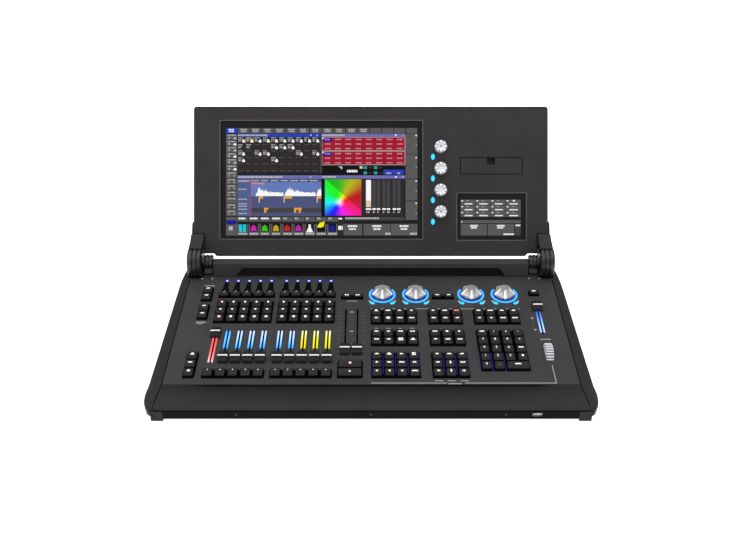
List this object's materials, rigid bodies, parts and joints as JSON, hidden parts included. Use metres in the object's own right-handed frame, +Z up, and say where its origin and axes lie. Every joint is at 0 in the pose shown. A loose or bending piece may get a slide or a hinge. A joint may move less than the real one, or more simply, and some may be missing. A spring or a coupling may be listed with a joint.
{
  "type": "lighting control desk",
  "caption": "Sloping stage lighting desk with key banks, slide faders, turn knobs and a wide display housing that tilts on two side hinges.",
  "frame": {"origin": "middle of the whole object's bottom, on the surface that the foot rails stand on, with the display housing open at its rest tilt", "axes": "+X to the operator's right, +Y away from the operator, +Z up"},
  "size_m": [0.684, 0.5104, 0.332],
  "materials": {
    "casing": "fine moulded texture, dark warm grey",
    "panel": "powder coated dark grey, satin",
    "key_plastic": "satin black key caps with lit legends",
    "fader_cap": "satin black caps with a white line",
    "knob_silver": "silver painted plastic, glossy",
    "wheel_grey": "ribbed pale grey",
    "display": "lit flat display behind smooth glass",
    "steel": "bright plated",
    "supply": "plain folded sheet",
    "board": "green solder mask",
    "inlet_black": "black moulded",
    "foot_rubber": "matt rubber"
  },
  "bodies": {
    "root": {"base_pan": "panel", "left_cheek": "casing", "right_cheek": "casing", "palm_rest": "casing", "control_panel": "panel", "hump_cover": "panel", "rear_panel": "panel", "mainboard": "board", "power_supply": "supply", "power_inlet": "inlet_black", "left_knuckle": "casing", "right_knuckle": "casing", "left_foot_rail": "foot_rubber", "right_foot_rail": "foot_rubber", "front_usb_socket": "steel", "left_hinge_pin": "steel", "right_hinge_pin": "steel"},
    "screen": {"screen_bezel": "casing", "screen_back": "casing", "main_display": "display", "side_display": "display", "left_hinge_arm": "casing", "right_hinge_arm": "casing"},
    "media_hatch": {"media_hatch": "casing"},
    "fader_1": {"fader_1": "fader_cap"},
    "fader_2": {"fader_2": "fader_cap"},
    "fader_3": {"fader_3": "fader_cap"},
    "fader_4": {"fader_4": "fader_cap"},
    "fader_5": {"fader_5": "fader_cap"},
    "fader_6": {"fader_6": "fader_cap"},
    "fader_7": {"fader_7": "fader_cap"},
    "fader_8": {"fader_8": "fader_cap"},
    "fader_9": {"fader_9": "fader_cap"},
    "fader_10": {"fader_10": "fader_cap"},
    "crossfader_left": {"crossfader_left": "fader_cap"},
    "crossfader_right": {"crossfader_right": "fader_cap"},
    "master_fader": {"master_fader": "fader_cap"},
    "encoder_1": {"encoder_1": "knob_silver"},
    "encoder_2": {"encoder_2": "knob_silver"},
    "encoder_3": {"encoder_3": "knob_silver"},
    "encoder_4": {"encoder_4": "knob_silver"},
    "intensity_wheel": {"intensity_wheel": "wheel_grey"},
    "screen_encoder_1": {"screen_encoder_1": "knob_silver"},
    "screen_encoder_2": {"screen_encoder_2": "knob_silver"},
    "screen_encoder_3": {"screen_encoder_3": "knob_silver"},
    "screen_encoder_4": {"screen_encoder_4": "knob_silver"},
    "page_keys": {"page_keys": "key_plastic"},
    "nav_keys": {"nav_keys": "key_plastic"},
    "select_keys": {"select_keys": "key_plastic"},
    "playback_keys": {"playback_keys": "key_plastic"},
    "flash_keys": {"flash_keys": "key_plastic"},
    "pause_key": {"pause_key": "key_plastic"},
    "go_key": {"go_key": "key_plastic"},
    "skip_keys": {"skip_keys": "key_plastic"},
    "encoder_page_keys": {"encoder_page_keys": "key_plastic"},
    "left_function_keys": {"left_function_keys": "key_plastic"},
    "mid_function_keys": {"mid_function_keys": "key_plastic"},
    "right_function_keys": {"right_function_keys": "key_plastic"},
    "number_keys": {"number_keys": "key_plastic"},
    "master_key": {"master_key": "key_plastic"}
  },
  "joints": [
    {"name": "screen_tilt", "type": "hinge", "parent": "root", "child": "screen", "pos_m": [0, 0.09146, 0.0902], "axis": [-1, 0, 0], "range_deg": [-126.5, 10]},
    {"name": "media_hatch_flap", "type": "hinge", "parent": "screen", "child": "media_hatch", "pos_m": [0.21665, 0.17398, 0.226], "axis": [1, 0, 0], "range_deg": [0, 90]},
    {"name": "fader_1_travel", "type": "slide", "parent": "root", "child": "fader_1", "axis": [0, 0.9877, 0.1564], "range_m": [-0.06, 0]},
    {"name": "fader_2_travel", "type": "slide", "parent": "root", "child": "fader_2", "axis": [0, 0.9877, 0.1564], "range_m": [0, 0.06]},
    {"name": "fader_3_travel", "type": "slide", "parent": "root", "child": "fader_3", "axis": [0, 0.9877, 0.1564], "range_m": [0, 0.06]},
    {"name": "fader_4_travel", "type": "slide", "parent": "root", "child": "fader_4", "axis": [0, 0.9877, 0.1564], "range_m": [0, 0.06]},
    {"name": "fader_5_travel", "type": "slide", "parent": "root", "child": "fader_5", "axis": [0, 0.9877, 0.1564], "range_m": [0, 0.06]},
    {"name": "fader_6_travel", "type": "slide", "parent": "root", "child": "fader_6", "axis": [0, 0.9877, 0.1564], "range_m": [0, 0.06]},
    {"name": "fader_7_travel", "type": "slide", "parent": "root", "child": "fader_7", "axis": [0, 0.9877, 0.1564], "range_m": [0, 0.06]},
    {"name": "fader_8_travel", "type": "slide", "parent": "root", "child": "fader_8", "axis": [0, 0.9877, 0.1564], "range_m": [0, 0.06]},
    {"name": "fader_9_travel", "type": "slide", "parent": "root", "child": "fader_9", "axis": [0, 0.9877, 0.1564], "range_m": [0, 0.06]},
    {"name": "fader_10_travel", "type": "slide", "parent": "root", "child": "fader_10", "axis": [0, 0.9877, 0.1564], "range_m": [0, 0.06]},
    {"name": "crossfader_left_travel", "type": "slide", "parent": "root", "child": "crossfader_left", "axis": [0, 0.9877, 0.1564], "range_m": [0, 0.1]},
    {"name": "crossfader_right_travel", "type": "slide", "parent": "root", "child": "crossfader_right", "axis": [0, 0.9877, 0.1564], "range_m": [0, 0.1]},
    {"name": "master_fader_travel", "type": "slide", "parent": "root", "child": "master_fader", "axis": [0, 0.9877, 0.1564], "range_m": [-0.06, 0]},
    {"name": "encoder_1_turn", "type": "hinge", "parent": "root", "child": "encoder_1", "pos_m": [0.0197, 0.02675, 0.05899], "axis": [0, -0.1564, 0.9877], "continuous": true},
    {"name": "encoder_2_turn", "type": "hinge", "parent": "root", "child": "encoder_2", "pos_m": [0.0775, 0.02675, 0.05899], "axis": [0, -0.1564, 0.9877], "continuous": true},
    {"name": "encoder_3_turn", "type": "hinge", "parent": "root", "child": "encoder_3", "pos_m": [0.1735, 0.02675, 0.05899], "axis": [0, -0.1564, 0.9877], "continuous": true},
    {"name": "encoder_4_turn", "type": "hinge", "parent": "root", "child": "encoder_4", "pos_m": [0.2314, 0.02675, 0.05899], "axis": [0, -0.1564, 0.9877], "continuous": true},
    {"name": "intensity_wheel_turn", "type": "hinge", "parent": "root", "child": "intensity_wheel", "pos_m": [0.2845, -0.11978, 0.02718], "axis": [1, 0, 0], "continuous": true},
    {"name": "screen_encoder_1_turn", "type": "hinge", "parent": "screen", "child": "screen_encoder_1", "pos_m": [0.1252, 0.19611, 0.26848], "axis": [0, -0.885, 0.4656], "continuous": true},
    {"name": "screen_encoder_2_turn", "type": "hinge", "parent": "screen", "child": "screen_encoder_2", "pos_m": [0.1252, 0.17799, 0.23406], "axis": [0, -0.885, 0.4656], "continuous": true},
    {"name": "screen_encoder_3_turn", "type": "hinge", "parent": "screen", "child": "screen_encoder_3", "pos_m": [0.1252, 0.15988, 0.19963], "axis": [0, -0.885, 0.4656], "continuous": true},
    {"name": "screen_encoder_4_turn", "type": "hinge", "parent": "screen", "child": "screen_encoder_4", "pos_m": [0.1252, 0.14177, 0.1652], "axis": [0, -0.885, 0.4656], "continuous": true},
    {"name": "page_keys_press", "type": "slide", "parent": "root", "child": "page_keys", "axis": [0, -0.1564, 0.9877], "range_m": [-0.0025, 0], "stiffness_N_per_m": 1200, "springref_m": 0.003},
    {"name": "nav_keys_press", "type": "slide", "parent": "root", "child": "nav_keys", "axis": [0, -0.1564, 0.9877], "range_m": [-0.0025, 0], "stiffness_N_per_m": 900, "springref_m": 0.003},
    {"name": "select_keys_press", "type": "slide", "parent": "root", "child": "select_keys", "axis": [0, -0.1564, 0.9877], "range_m": [-0.0025, 0], "stiffness_N_per_m": 3000, "springref_m": 0.003},
    {"name": "playback_keys_press", "type": "slide", "parent": "root", "child": "playback_keys", "axis": [0, -0.1564, 0.9877], "range_m": [-0.0025, 0], "stiffness_N_per_m": 9000, "springref_m": 0.003},
    {"name": "flash_keys_press", "type": "slide", "parent": "root", "child": "flash_keys", "axis": [0, -0.1564, 0.9877], "range_m": [-0.0025, 0], "stiffness_N_per_m": 3000, "springref_m": 0.003},
    {"name": "pause_key_press", "type": "slide", "parent": "root", "child": "pause_key", "axis": [0, -0.1564, 0.9877], "range_m": [-0.0025, 0], "stiffness_N_per_m": 300, "springref_m": 0.003},
    {"name": "go_key_press", "type": "slide", "parent": "root", "child": "go_key", "axis": [0, -0.1564, 0.9877], "range_m": [-0.0025, 0], "stiffness_N_per_m": 300, "springref_m": 0.003},
    {"name": "skip_keys_press", "type": "slide", "parent": "root", "child": "skip_keys", "axis": [0, -0.1564, 0.9877], "range_m": [-0.0025, 0], "stiffness_N_per_m": 600, "springref_m": 0.003},
    {"name": "encoder_page_keys_press", "type": "slide", "parent": "root", "child": "encoder_page_keys", "axis": [0, -0.1564, 0.9877], "range_m": [-0.0025, 0], "stiffness_N_per_m": 600, "springref_m": 0.003},
    {"name": "left_function_keys_press", "type": "slide", "parent": "root", "child": "left_function_keys", "axis": [0, -0.1564, 0.9877], "range_m": [-0.0025, 0], "stiffness_N_per_m": 8400, "springref_m": 0.003},
    {"name": "mid_function_keys_press", "type": "slide", "parent": "root", "child": "mid_function_keys", "axis": [0, -0.1564, 0.9877], "range_m": [-0.0025, 0], "stiffness_N_per_m": 6300, "springref_m": 0.003},
    {"name": "right_function_keys_press", "type": "slide", "parent": "root", "child": "right_function_keys", "axis": [0, -0.1564, 0.9877], "range_m": [-0.0025, 0], "stiffness_N_per_m": 2400, "springref_m": 0.003},
    {"name": "number_keys_press", "type": "slide", "parent": "root", "child": "number_keys", "axis": [0, -0.1564, 0.9877], "range_m": [-0.0025, 0], "stiffness_N_per_m": 5700, "springref_m": 0.003},
    {"name": "master_key_press", "type": "slide", "parent": "root", "child": "master_key", "axis": [0, -0.1564, 0.9877], "range_m": [-0.0025, 0], "stiffness_N_per_m": 300, "springref_m": 0.003}
  ]
}
